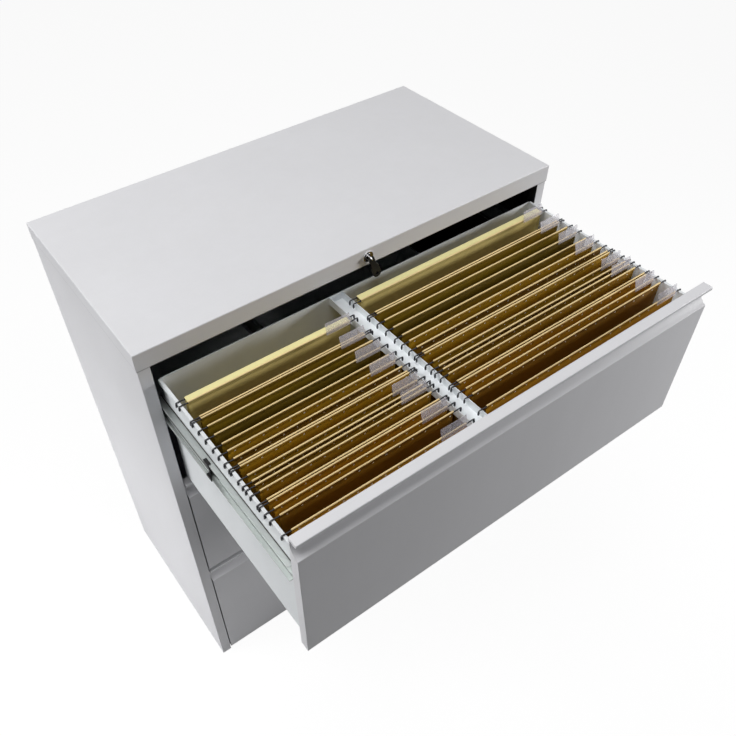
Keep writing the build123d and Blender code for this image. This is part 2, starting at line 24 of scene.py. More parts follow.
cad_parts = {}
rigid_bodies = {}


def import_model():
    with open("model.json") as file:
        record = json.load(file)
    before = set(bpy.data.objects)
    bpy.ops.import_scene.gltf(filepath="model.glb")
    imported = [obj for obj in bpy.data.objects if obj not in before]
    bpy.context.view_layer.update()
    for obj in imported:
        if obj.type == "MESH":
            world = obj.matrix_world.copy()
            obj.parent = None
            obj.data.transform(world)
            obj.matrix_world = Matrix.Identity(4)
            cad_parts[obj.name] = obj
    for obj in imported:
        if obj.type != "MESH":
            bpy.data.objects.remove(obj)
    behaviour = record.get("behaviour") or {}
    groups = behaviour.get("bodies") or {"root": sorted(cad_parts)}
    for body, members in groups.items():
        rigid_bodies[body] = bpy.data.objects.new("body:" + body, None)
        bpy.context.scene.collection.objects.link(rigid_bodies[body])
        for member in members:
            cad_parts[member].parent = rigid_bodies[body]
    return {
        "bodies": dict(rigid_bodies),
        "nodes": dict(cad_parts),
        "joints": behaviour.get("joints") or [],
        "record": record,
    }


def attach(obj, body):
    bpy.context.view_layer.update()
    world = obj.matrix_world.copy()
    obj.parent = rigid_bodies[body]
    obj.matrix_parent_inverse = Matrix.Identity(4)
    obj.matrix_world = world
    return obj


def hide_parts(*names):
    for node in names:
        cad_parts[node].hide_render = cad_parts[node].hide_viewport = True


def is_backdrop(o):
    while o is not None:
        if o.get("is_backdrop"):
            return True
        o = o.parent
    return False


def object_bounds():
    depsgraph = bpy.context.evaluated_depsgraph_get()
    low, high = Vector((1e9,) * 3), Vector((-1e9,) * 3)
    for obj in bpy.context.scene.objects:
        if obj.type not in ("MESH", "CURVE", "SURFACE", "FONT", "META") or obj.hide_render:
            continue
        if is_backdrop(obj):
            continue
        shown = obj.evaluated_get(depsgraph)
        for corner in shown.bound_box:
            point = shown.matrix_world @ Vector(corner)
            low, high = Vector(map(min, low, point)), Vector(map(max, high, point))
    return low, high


log = logging.getLogger("filing_cabinet")

MM = 0.001
WELD = 1e-6  # points closer than this are one point
SHARP_ANGLE = math.radians(40)  # edges that turn more than this stay sharp
NOISE_BAND = (0.3, 0.7)  # where most values of a noise texture lie
WHITE = (1.0, 1.0, 1.0, 1.0)

Triple = tuple[float, float, float]
Box = tuple[Vector, Vector]
Sockets = dict[str | int, object]  # values or sockets to link, by an input's name or place


class Slot(Enum):
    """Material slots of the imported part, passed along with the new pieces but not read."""

    CARD = "folder_card"
    ROD = "folder_rod"
    TAB = "clear_plastic"
    PLASTIC = "black_plastic"


class Drawer(Enum):
    """The three drawers."""

    TOP = "top"
    MIDDLE = "middle"
    BOTTOM = "bottom"


class Side(Enum):
    """The two sides of a drawer and the two ends of a rod, as a direction along X."""

    LEFT = -1
    RIGHT = 1


class Row(Enum):
    """The two rows of hanging folders, by the name of the bay that they hang in."""

    NARROW = "narrow"
    WIDE = "wide"


# --- Shader node tools ---


@dataclass(frozen=True)
class Graph:
    """Adds and joins nodes in the tree of a material, world or group."""

    tree: NodeTree

    def fill(self, node: Node, sockets: Sockets) -> None:
        """Fills or links a node's inputs.

        Args:
            node: The node.
            sockets: What its inputs get.
        """
        for name, value in sockets.items():
            if isinstance(value, NodeSocket):
                self.tree.links.new(value, node.inputs[name])
            else:
                node.inputs[name].default_value = value

    def add(self, kind: str, sockets: Sockets | None = None, **settings: object) -> Node:
        """Adds a node, sets its properties and fills or links its inputs.

        Args:
            kind: The node type's identifier without the ShaderNode prefix.
            sockets: What its inputs get.
            settings: Properties of the node.

        Returns:
            The new node.
        """
        node = self.tree.nodes.new("ShaderNode" + kind)
        for name, value in settings.items():
            setattr(node, name, value)
        self.fill(node, sockets or {})
        return node

    def place(self) -> NodeSocket:
        """Adds a node that gives the place on the object, and returns its socket."""
        return self.add("TexCoord").outputs["Object"]

    def math(self, operation: str, first: object, second: object = 0.0, clamp: bool = False) -> NodeSocket:
        """Adds a Math node for one or two values or sockets, and returns its result."""
        return self.add("Math", {0: first, 1: second}, operation=operation, use_clamp=clamp).outputs[0]

    def scale(self, colour: object, factor: object) -> NodeSocket:
        """Multiplies a colour or its socket by a factor, and returns the result's socket."""
        return self.add("VectorMath", {0: colour, "Scale": factor}, operation="SCALE").outputs[0]

    def blend(self, factor: object, first: object, second: object) -> NodeSocket:
        """Mixes so much of the second colour or socket into the first, and returns the result's socket."""
        shades = [shade if isinstance(shade, NodeSocket) else (*shade, 1.0) for shade in (first, second)]
        return self.add("Mix", {0: factor, 6: shades[0], 7: shades[1]}, data_type="RGBA").outputs[2]

    def span(self, value: object, low: float, high: float, to_low: float, to_high: float) -> NodeSocket:
        """Maps the range from low to high to another, clamped, and returns the result's socket."""
        sockets = {"Value": value, "From Min": low, "From Max": high, "To Min": to_low, "To Max": to_high}
        return self.add("MapRange", sockets).outputs[0]

    def noise(self, vector: object, scale: object, detail: float = 2.0, roughness: float = 0.5) -> NodeSocket:
        """Adds a noise texture with so many features per metre, and returns its value's socket."""
        sockets = {"Vector": vector, "Scale": scale, "Detail": detail, "Roughness": roughness}
        return self.add("TexNoise", sockets).outputs[0]


class EffectGroups:
    """Shader node groups that several finishes share, each built once."""

    EDGE_COSINE = (0.98, 0.80)  # between the rounded and the flat normal: off an edge, on it
    WORN_NOISE = (0.42, 0.72)
    FINE_SCALE = 3.1  # fine grain's scale over the coarse grain's
    COARSE_SHARE = 0.7
    DUST_SLOPE = (0.55, 0.95)  # upward part of the normal: bare, dusty
    DUST_NOISE = (0.38, 0.75)
    DUST_SCALE = 14.0
    DUST_LEAST = 0.15  # share left between the clouds
    RECESS_SHADE_OPENNESS = (0.72, 0.4)  # openness to the outside: unshaded, fully in painted shade
    WIPE_STRETCH = (1.0, 1.0, 0.12)
    WIPE_SCALE = 9.0  # wipe marks' scale over the clouds'
    CLOUD_SHARE = 0.65

    def __init__(self) -> None:
        """Builds every group."""
        self.edge_wear = self._edge_wear()
        self.fine_grain = self._fine_grain()
        self.dust = self._dust()
        self.handling = self._handling()
        self.inner_side = self._inner_side()
        self.recess_shade_mask = self._recess_shade_mask()

    @staticmethod
    def _open(name: str, inputs: dict[str, float]) -> tuple[Graph, NodeOutputs]:
        """Starts a group.

        Args:
            name: The group's name.
            inputs: Value inputs and their defaults.

        Returns:
            The graph and the inputs' sockets.
        """
        tree = bpy.data.node_groups.new(name, "ShaderNodeTree")
        for label, value in inputs.items():
            socket = tree.interface.new_socket(label, in_out="INPUT", socket_type="NodeSocketFloat")
            socket.default_value = value
        return Graph(tree), tree.nodes.new("NodeGroupInput").outputs

    @staticmethod
    def _close(graph: Graph, results: dict[str, NodeSocket]) -> NodeTree:
        """Gives a group its outputs.

        Args:
            graph: The group's graph.
            results: The sockets that the outputs carry.

        Returns:
            The group.
        """
        for label, value in results.items():
            kind = "NodeSocketVector" if value.type == "VECTOR" else "NodeSocketFloat"
            graph.tree.interface.new_socket(label, in_out="OUTPUT", socket_type=kind)
        graph.fill(graph.tree.nodes.new("NodeGroupOutput"), results)
        return graph.tree

    def _edge_wear(self) -> NodeTree:
        """A mask along sharp outer edges, broken up by noise.

        Returns:
            The group.
        """
        graph, given = self._open("edge wear", {"Radius": 0.0015, "Breakup": 90.0})
        bevel = graph.add("Bevel", {"Radius": given["Radius"]}, samples=4).outputs[0]
        flat = graph.add("NewGeometry").outputs["Normal"]
        facing = graph.add("VectorMath", {0: bevel, 1: flat}, operation="DOT_PRODUCT").outputs["Value"]
        edge = graph.span(facing, *self.EDGE_COSINE, 0.0, 1.0)
        patches = graph.noise(graph.place(), given["Breakup"], detail=4.0, roughness=0.65)
        patches = graph.span(patches, *self.WORN_NOISE, 0.0, 1.0)
        return self._close(graph, {"Mask": graph.math("MULTIPLY", edge, patches, clamp=True), "Normal": bevel})

    def _fine_grain(self) -> NodeTree:
        """The soft pebbled skin of a sprayed or moulded surface, as a height and a speckle.

        Returns:
            The group.
        """
        graph, given = self._open("fine grain", {"Scale": 700.0})
        place = graph.place()
        coarse = graph.noise(place, given["Scale"])
        fine = graph.noise(place, graph.math("MULTIPLY", given["Scale"], self.FINE_SCALE), detail=1.0)
        height = graph.math("ADD", graph.math("MULTIPLY", coarse, self.COARSE_SHARE),
                            graph.math("MULTIPLY", fine, 1.0 - self.COARSE_SHARE))
        return self._close(graph, {"Height": height, "Speckle": graph.span(fine, *NOISE_BAND, 0.0, 1.0)})

    def _dust(self) -> NodeTree:
        """A mask of dust that settles on faces that look up.

        Returns:
            The group.
        """
        graph, given = self._open("settled dust", {"Amount": 0.2})
        geometry = graph.add("NewGeometry").outputs
        up = graph.add("SeparateXYZ", {0: geometry["Normal"]}).outputs["Z"]
        level = graph.span(up, *self.DUST_SLOPE, 0.0, 1.0)
        clouds = graph.noise(geometry["Position"], self.DUST_SCALE, detail=5.0, roughness=0.62)
        clouds = graph.span(clouds, *self.DUST_NOISE, self.DUST_LEAST, 1.0)
        mask = graph.math("MULTIPLY", graph.math("MULTIPLY", level, clouds), given["Amount"], clamp=True)
        return self._close(graph, {"Mask": mask})

    def _inner_side(self) -> NodeTree:
        """A mask of the faces that look towards the middle of the cabinet.

        Returns:
            The group.
        """
        graph, given = self._open("inner side", {"Middle": 0.5})
        flat = graph.add("NewGeometry").outputs["True Normal"]
        middle = graph.add("CombineXYZ", {"Z": given["Middle"]}).outputs[0]
        outward = graph.add("VectorMath", {0: graph.place(), 1: middle}, operation="SUBTRACT").outputs[0]
        facing = graph.add("VectorMath", {0: outward, 1: flat}, operation="DOT_PRODUCT").outputs["Value"]
        return self._close(graph, {"Mask": graph.math("LESS_THAN", facing, 0.0)})

    def _recess_shade_mask(self) -> NodeTree:
        """A mask of the inner corners, for painted shade in recesses.

        Returns:
            The group.
        """
        graph, given = self._open("recess_shade_mask", {"Reach": 0.005})
        shelter = graph.add("AmbientOcclusion", {"Distance": given["Reach"]}, samples=8, only_local=True)
        return self._close(graph, {"Mask": graph.span(shelter.outputs["AO"], *self.RECESS_SHADE_OPENNESS, 0.0, 1.0)})

    def _handling(self) -> NodeTree:
        """Faint smears and cloudy patches left by hands and wiping, around 0.5.

        Returns:
            The group.
        """
        graph, given = self._open("handling marks", {"Scale": 5.0})
        place = graph.place()
        clouds = graph.noise(place, given["Scale"], detail=3.0, roughness=0.55)
        stretch = graph.add("Mapping", {"Vector": place, "Scale": self.WIPE_STRETCH}).outputs[0]
        wipes = graph.noise(stretch, graph.math("MULTIPLY", given["Scale"], self.WIPE_SCALE), roughness=0.6)
        value = graph.math("ADD", graph.math("MULTIPLY", clouds, self.CLOUD_SHARE),
                           graph.math("MULTIPLY", wipes, 1.0 - self.CLOUD_SHARE))
        return self._close(graph, {"Value": value})


# --- Finishes ---


def new_material(name: str) -> tuple[Material, Graph, Node]:
    """Makes a node material with one Principled shader.

    Args:
        name: The material's name.

    Returns:
        The material, its graph and its shader node.
    """
    material = bpy.data.materials.new(name)
    material.use_nodes = True
    return material, Graph(material.node_tree), material.node_tree.nodes["Principled BSDF"]


@dataclass(frozen=True)
class Finish:
    """A finish, made with the shared effects."""

    name: str

    def inputs(self, graph: Graph, groups: EffectGroups) -> Sockets:
        """Adds the nodes to the graph, and returns what the shader's inputs get."""
        raise NotImplementedError


@dataclass(frozen=True)
class SurfaceFinish(Finish):
    """A sprayed, plated or moulded finish: base colour, gloss, skin, worn edges, dust, and painted shade on
    inner faces, along a seam and in recesses.
    """

    colour: Triple
    worn_colour: Triple
    roughness: float
    metallic: tuple[float, float] = (0.0, 0.0)  # whole, worn
    specular: float = 0.5
    gloss_spread: float = 0.05
    grain: tuple[float, float] = (520.0, 0.00005)  # features per metre, height
    speckle: float = 0.05
    tone: float = 0.1
    wear: float = 0.3
    edge_radius: float = 0.0012
    dust: float = 0.05
    dust_colour: Triple = (0.62, 0.60, 0.55)
    dust_roughness: float = 0.3
    inner_shade_colour: Triple | None = None
    recess_shade: float = 0.0
    recess_shade_colour: Triple = (0.03, 0.034, 0.032)
    seam_shadow_height: float | None = None
    seam_shadow_width: float = 0.0018
    seam_shadow_darkness: float = 0.4

    def inputs(self, graph: Graph, groups: EffectGroups) -> Sockets:
        """Base colour under wear, dust and painted shade, with a fine skin.

        Args:
            graph: The material's graph.
            groups: The shared effects.

        Returns:
            What the shader's inputs get.
        """
        wear = graph.add("Group", {"Radius": self.edge_radius}, node_tree=groups.edge_wear).outputs
        grain = graph.add("Group", {"Scale": self.grain[0]}, node_tree=groups.fine_grain).outputs
        dust = graph.add("Group", {"Amount": self.dust}, node_tree=groups.dust).outputs["Mask"]
        marks = graph.add("Group", node_tree=groups.handling).outputs["Value"]
        shade = graph.span(marks, *NOISE_BAND, 1.0 - self.tone, 1.0 + self.tone)
        shade = graph.math("ADD", shade, graph.math("MULTIPLY", grain["Speckle"], -self.speckle))
        colour = graph.scale(self.colour, shade)
        # Painted shade: faces that look into the cabinet get a nearly black colour for the dark interior.
        if self.inner_shade_colour:
            inner = graph.add("Group", node_tree=groups.inner_side).outputs["Mask"]
            colour = graph.blend(inner, colour, self.inner_shade_colour)
        # Painted shadow: a dark band at this height for the shadow in the gap under the lid's edge.
        if self.seam_shadow_height is not None:
            height = graph.add("SeparateXYZ", {0: graph.place()}).outputs["Z"]
            away = graph.math("ABSOLUTE", graph.math("SUBTRACT", height, self.seam_shadow_height))
            colour = graph.scale(colour, graph.span(away, 0.0, self.seam_shadow_width, self.seam_shadow_darkness, 1.0))
        worn = graph.math("MULTIPLY", wear["Mask"], self.wear)
        colour = graph.blend(worn, colour, self.worn_colour)
        colour = graph.blend(dust, colour, self.dust_colour)
        # Painted shade: inner corners are darkened, as if little light reaches them.
        if self.recess_shade:
            recess = graph.add("Group", node_tree=groups.recess_shade_mask).outputs["Mask"]
            colour = graph.blend(graph.math("MULTIPLY", recess, self.recess_shade), colour, self.recess_shade_colour)
        rough = graph.span(marks, *NOISE_BAND, self.roughness - self.gloss_spread,
                           self.roughness + self.gloss_spread)
        rough = graph.math("ADD", rough, graph.math("MULTIPLY", dust, self.dust_roughness), clamp=True)
        bump = graph.add("Bump", {"Height": grain["Height"], "Normal": wear["Normal"],
                                  "Distance": self.grain[1]})
        metal, worn_metal = self.metallic
        if metal != worn_metal:
            metal = graph.span(worn, 0.0, 1.0, metal, worn_metal)
        return {"Base Color": colour, "Roughness": rough, "Metallic": metal, "Normal": bump.outputs[0],
                "Specular IOR Level": self.specular}


@dataclass(frozen=True)
class CardFinish(Finish):
    """Folder card: short fibres, a tone and shade for each panel and a row of pale tab slots below the hem.

    A tone of -1 is the rearmost folder's card, painted paler for the light that falls on it, 0 the rear colour
    and 1 the front colour; the shade scales it.
    """

    lit_card_colour: Triple
    rear_colour: Triple
    front_colour: Triple
    roughness: tuple[float, float] = (0.69, 0.83)
    specular: float = 0.3
    fibre_scale: float = 380.0
    fibre_stretch: Triple = (0.18, 1.0, 1.0)
    fibre_height: float = 0.00012
    fibre_bump: float = 0.6
    fibre_noise: tuple[float, float] = (0.25, 0.75)
    fibre_shade: tuple[float, float] = (0.86, 1.12)
    mark_shade: tuple[float, float] = (0.93, 1.06)
    slot_pitch: float = 0.0246
    slot_share: float = 0.06
    slot_depth: float = 0.0048
    slot_half_height: float = 0.0015
    slot_tones: tuple[float, float] = (0.15, 0.35)
    slot_colour: Triple = (0.98, 0.94, 0.80)

    def inputs(self, graph: Graph, groups: EffectGroups) -> Sockets:
        """Fibres, tones and slots.

        Args:
            graph: The material's graph.
            groups: The shared effects.

        Returns:
            What the shader's inputs get.
        """
        stretch = graph.add("Mapping", {"Vector": graph.place(), "Scale": self.fibre_stretch}).outputs[0]
        fibre = graph.noise(stretch, self.fibre_scale, detail=4.0, roughness=0.7)
        tone = graph.add("Attribute", attribute_name="tone").outputs["Fac"]
        colour = graph.blend(graph.span(tone, 0.0, 1.0, 0.0, 1.0), self.rear_colour, self.front_colour)
        # Painted light: a tone below 0 blends towards the lit colour of the rearmost folder.
        colour = graph.blend(graph.span(tone, -1.0, 0.0, 1.0, 0.0), colour, self.lit_card_colour)
        shade = graph.span(fibre, *self.fibre_noise, *self.fibre_shade)
        shade = graph.math("MULTIPLY", shade, graph.add("Attribute", attribute_name="shade").outputs["Fac"])
        marks = graph.add("Group", node_tree=groups.handling).outputs["Value"]
        shade = graph.math("MULTIPLY", shade, graph.span(marks, *NOISE_BAND, *self.mark_shade))
        colour = graph.scale(colour, shade)
        flat = graph.add("SeparateXYZ", {0: graph.add("UVMap", uv_map="card").outputs[0]}).outputs
        step = graph.math("FRACT", graph.math("DIVIDE", flat["X"], self.slot_pitch))
        off = graph.math("ABSOLUTE", graph.math("SUBTRACT", step, 0.5))
        down = graph.math("ABSOLUTE", graph.math("SUBTRACT", flat["Y"], self.slot_depth))
        slot = graph.math("MULTIPLY", graph.math("LESS_THAN", off, self.slot_share),
                          graph.math("LESS_THAN", down, self.slot_half_height))
        slot = graph.math("MULTIPLY", slot, graph.span(tone, *self.slot_tones, 0.0, 1.0))
        colour = graph.blend(slot, colour, self.slot_colour)
        bump = graph.add("Bump", {"Height": fibre, "Distance": self.fibre_height, "Strength": self.fibre_bump})
        return {"Base Color": colour, "Roughness": graph.span(fibre, *NOISE_BAND, *self.roughness),
                "Normal": bump.outputs[0], "Specular IOR Level": self.specular}


@dataclass(frozen=True)
class ClearFinish(Finish):
    """Thin clear plastic with a faint tint, light scuffs and a soft gloss."""

    colour: Triple
    alpha: float
    roughness: tuple[float, float]
    tint: tuple[float, float] = (0.92, 1.05)
    scuff_scale: float = 60.0

    def inputs(self, graph: Graph, groups: EffectGroups) -> Sockets:
        """Tint and scuffs.

        Args:
            graph: The material's graph.
            groups: The shared effects.

        Returns:
            What the shader's inputs get.
        """
        marks = graph.add("Group", {"Scale": self.scuff_scale}, node_tree=groups.handling).outputs["Value"]
        colour = graph.scale(self.colour, graph.span(marks, *NOISE_BAND, *self.tint))
        rough = graph.span(marks, *NOISE_BAND, *self.roughness)
        return {"Base Color": colour, "Roughness": rough, "Alpha": self.alpha}


class Finishes:
    """Every finish of the cabinet, built once: name, colour, worn colour, roughness and what else differs."""

    POWDER_COAT = SurfaceFinish(
        "grey powder coat", (0.80, 0.80, 0.825), (0.90, 0.90, 0.90), 0.46,
        speckle=0.035, tone=0.02, wear=0.35, edge_radius=0.0014)
    # Painted shade: the shell's faces that look into the cabinet are coloured nearly black.
    SHELL_COAT = replace(
        POWDER_COAT, name="grey powder coat over primer", inner_shade_colour=(0.008, 0.008, 0.009),
        # painted shadow line at the seam under the lid's skirt
        seam_shadow_height=0.9919)
    # Painted shade: the slide uprights inside the cabinet are coloured nearly black for the dark interior.
    INTERIOR_SHADE = SurfaceFinish(
        "dark painted interior shade", (0.008, 0.008, 0.009), (0.06, 0.06, 0.06), 0.8,
        specular=0.1, speckle=0.1, wear=0.2, dust=0.04, dust_colour=(0.1, 0.1, 0.1))
    TRAY_COAT = SurfaceFinish(
        "tray powder coat", (0.85, 0.88, 0.90), (0.92, 0.93, 0.93), 0.42,
        grain=(620.0, 0.00004), speckle=0.03, tone=0.03, edge_radius=0.0008, dust=0.06)
    # Its recess shade paints the shadow in the inner corners of the slides' channels.
    ZINC = SurfaceFinish(
        "zinc plated steel", (0.50, 0.53, 0.52), (0.72, 0.74, 0.73), 0.38,
        metallic=(0.85, 1.0), grain=(420.0, 0.000004), tone=0.05, wear=0.5,
        edge_radius=0.0005, dust=0.1, recess_shade=0.9)
    BLACK_PLASTIC = SurfaceFinish(
        "black moulded plastic", (0.008, 0.008, 0.009), (0.05, 0.05, 0.05),
        0.42, specular=0.25, grain=(900.0, 0.00005), speckle=0.2, tone=0.15, wear=0.4, edge_radius=0.0006,
        dust=0.04, dust_colour=(0.2, 0.19, 0.18))
    CHROME = SurfaceFinish(
        "lock chrome", (0.70, 0.70, 0.71), (0.82, 0.81, 0.79), 0.16,
        metallic=(1.0, 1.0), grain=(900.0, 0.000008), tone=0.06, wear=0.5,
        edge_radius=0.0004, dust=0.03)
    FOOT_PLASTIC = SurfaceFinish(
        "foot plastic", (0.03, 0.03, 0.032), (0.10, 0.10, 0.10), 0.55,
        grain=(800.0, 0.00006), speckle=0.2, tone=0.15, wear=0.4, edge_radius=0.0008,
        dust=0.15, dust_colour=(0.25, 0.24, 0.22))
    ROD_ENAMEL = SurfaceFinish(
        "black rod enamel", (0.015, 0.016, 0.022), (0.16, 0.16, 0.17), 0.32,
        metallic=(0.0, 0.8), grain=(1100.0, 0.00002), speckle=0.15, wear=0.35,
        edge_radius=0.0003, dust=0.03)
    # Painted highlight: a much paler copy of the card, for the light on the hems' tops.
    HEM_HIGHLIGHT = SurfaceFinish(
        "hem paper with painted highlight", (0.96, 0.75, 0.39), (0.97, 0.83, 0.54), 0.8,
        specular=0.1, grain=(420.0, 0.00003), speckle=0.08, tone=0.06, wear=0.1,
        edge_radius=0.0003, dust=0.0)
    STRIP_PAPER = SurfaceFinish(
        "yellow strip paper", (0.95, 0.87, 0.43), (0.97, 0.94, 0.70), 0.75,
        specular=0.15, grain=(420.0, 0.00005), speckle=0.06, tone=0.05, edge_radius=0.0005, dust=0.0)
    CAGE_POLYMER = SurfaceFinish(
        "dark cage polymer", (0.07, 0.075, 0.075), (0.16, 0.16, 0.16), 0.5,
        grain=(800.0, 0.00003), speckle=0.15, edge_radius=0.0004, dust_colour=(0.2, 0.2, 0.19))
    CARD = CardFinish(
        "folder card", lit_card_colour=(0.70, 0.56, 0.20), rear_colour=(0.27, 0.17, 0.006),
        front_colour=(0.34, 0.16, 0.006))
    TAB = ClearFinish("clear tab plastic", colour=(0.90, 0.88, 0.96), alpha=0.18, roughness=(0.14, 0.3))

    def __init__(self) -> None:
        """Builds the groups; a material is built at its first use."""
        self.groups = EffectGroups()
        self._made: dict[str, Material] = {}

    def get(self, finish: Finish) -> Material:
        """The finish's material.

        Args:
            finish: The finish wanted.

        Returns:
            Its material.
        """
        if finish.name not in self._made:
            material, graph, shader = new_material(finish.name)
            graph.fill(shader, finish.inputs(graph, self.groups))
            self._made[finish.name] = material
        return self._made[finish.name]


# --- Mesh tools ---


def box_of(points: list[Vector]) -> Box:
    """The lowest and the highest corner of the box around some points."""
    low, high = (Vector(pick(point[axis] for point in points) for axis in range(3)) for pick in (min, max))
    return low, high


def solid_boxes(node: Object) -> list[Box]:
    """The boxes of the separate solids in one node.

    Args:
        node: A node's object.

    Returns:
        Lowest and highest corners, one pair for each solid.
    """
    mesh = bmesh.new()
    mesh.from_mesh(node.data)
    bmesh.ops.remove_doubles(mesh, verts=mesh.verts, dist=WELD)
    boxes: list[Box] = []
    seen: set[BMVert] = set()
    for start in mesh.verts:
        if start in seen:
            continue
        group, queue = [], [start]
        seen.add(start)
        while queue:
            vert = queue.pop()
            group.append(vert.co)
            for edge in vert.link_edges:
                other = edge.other_vert(vert)
                if other not in seen:
                    seen.add(other)
                    queue.append(other)
        boxes.append(box_of(group))
    mesh.free()
    return boxes


def add_rings(mesh: BMesh, outlines: list[list[Triple]]) -> list[BMVert]:
    """Joins like outlines into a tube with closed ends.

    Args:
        mesh: The mesh to add to.
        outlines: The points of each outline.

    Returns:
        The tube's points.
    """
    rings = [[mesh.verts.new(point) for point in outline] for outline in outlines]
    for ring, following in zip(rings, rings[1:]):
        for index in range(len(ring)):
            after = (index + 1) % len(ring)
            mesh.faces.new((ring[index], ring[after], following[after], following[index]))
    mesh.faces.new(list(reversed(rings[0])))
    mesh.faces.new(rings[-1])
    return [vert for ring in rings for vert in ring]


def add_tube(mesh: BMesh, path: list[Vector], radii: list[float], sides: int = 8) -> None:
    """Sweeps a round section along a path and closes both ends.

    Args:
        mesh: The mesh to add to.
        path: The path's points.
        radii: The section's radius at each point.
        sides: The section's number of sides.
    """
    rings = []
    side = Vector((0.0, 1.0, 0.0))
    for index, (point, radius) in enumerate(zip(path, radii)):
        before, after = path[max(index - 1, 0)], path[min(index + 1, len(path) - 1)]
        along = (after - before).normalized()
        first = (side - along * side.dot(along)).normalized()
        second = along.cross(first)
        angles = [2 * math.pi * corner / sides for corner in range(sides)]
        rings.append([point + radius * (math.cos(turn) * first + math.sin(turn) * second) for turn in angles])
    add_rings(mesh, rings)


def add_plate(mesh: BMesh, front: Callable[[float, float], Vector], offset: Vector,
              columns: int, rows: int) -> None:
    """Adds a closed curved plate: one surface, its shifted copy and the rim between them.

    Args:
        mesh: The mesh to add to.
        front: Gives a point of the surface for two numbers from 0 to 1.
        offset: Shift from the first surface to the second.
        columns: Number of faces across.
        rows: Number of faces down.
    """
    near, far = (
        [[mesh.verts.new(front(column / columns, row / rows) + shift) for column in range(columns + 1)]
         for row in range(rows + 1)]
        for shift in (Vector(), offset))
    for row in range(rows):
        for column in range(columns):
            corners = ((row, column), (row, column + 1), (row + 1, column + 1), (row + 1, column))
            mesh.faces.new([near[r][c] for r, c in corners])
            mesh.faces.new([far[r][c] for r, c in reversed(corners)])
    rim = [(0, column) for column in range(columns)]
    rim += [(row, columns) for row in range(rows)]
    rim += [(rows, column) for column in range(columns, 0, -1)]
    rim += [(row, 0) for row in range(rows, 0, -1)]
    for (row, column), (next_row, next_column) in zip(rim, rim[1:] + rim[:1]):
        mesh.faces.new((near[next_row][next_column], near[row][column],
                        far[row][column], far[next_row][next_column]))


@dataclass
class Dresser:
    """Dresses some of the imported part."""

    frame: dict
    finishes: Finishes

    def add_piece(self, name: str, mesh: BMesh, finish: Finish, body: str, slot: Slot) -> Object:
        """Turns a mesh into a dressed piece that rides on a body.

        Args:
            name: The piece's name.
            mesh: The mesh, which is freed.
            finish: The piece's finish.
            body: The body that it moves with.
            slot: Not used.

        Returns:
            The piece.
        """
        bmesh.ops.recalc_face_normals(mesh, faces=mesh.faces)
        for face in mesh.faces:
            face.smooth = True
        data = bpy.data.meshes.new(name)
        mesh.to_mesh(data)
        mesh.free()
        data.set_sharp_from_angle(angle=SHARP_ANGLE)
        data.materials.append(self.finishes.get(finish))
        piece = bpy.data.objects.new(name, data)
        bpy.context.collection.objects.link(piece)
        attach(piece, body)
        log.info("%s: %d faces on %s", name, len(data.polygons), body)
        return piece


# --- Sheet metal, slides and lock ---


class CabinetMetal(Dresser):
    """The solids that keep their shape, with the finish of each."""

    BY_ENDING = {
        ("release_lever", "key_bow"): Finishes.BLACK_PLASTIC,
        ("_slide", "lock_shaft", "lock_bar", "shaft_bracket"): Finishes.ZINC,
        ("lock_body", "lock_plug", "lock_nut", "key_blade"): Finishes.CHROME,
        ("levelling_feet",): Finishes.FOOT_PLASTIC,
        ("_tray", "_tray_back", "hanging_rail"): Finishes.TRAY_COAT,
        ("slide_uprights",): Finishes.INTERIOR_SHADE,
        ("top_panel", "side_panel", "back_panel", "base_pan"): Finishes.SHELL_COAT,
    }

    def dress(self) -> None:
        """Gives every node the finish that the end of its name asks for."""
        for name, node in self.frame["nodes"].items():
            asked = [finish for endings, finish in self.BY_ENDING.items() if name.endswith(endings)]
            finish = asked[0] if asked else Finishes.POWDER_COAT
            node.data.materials.clear()
            node.data.materials.append(self.finishes.get(finish))
            log.info("%s: %s", name, finish.name)


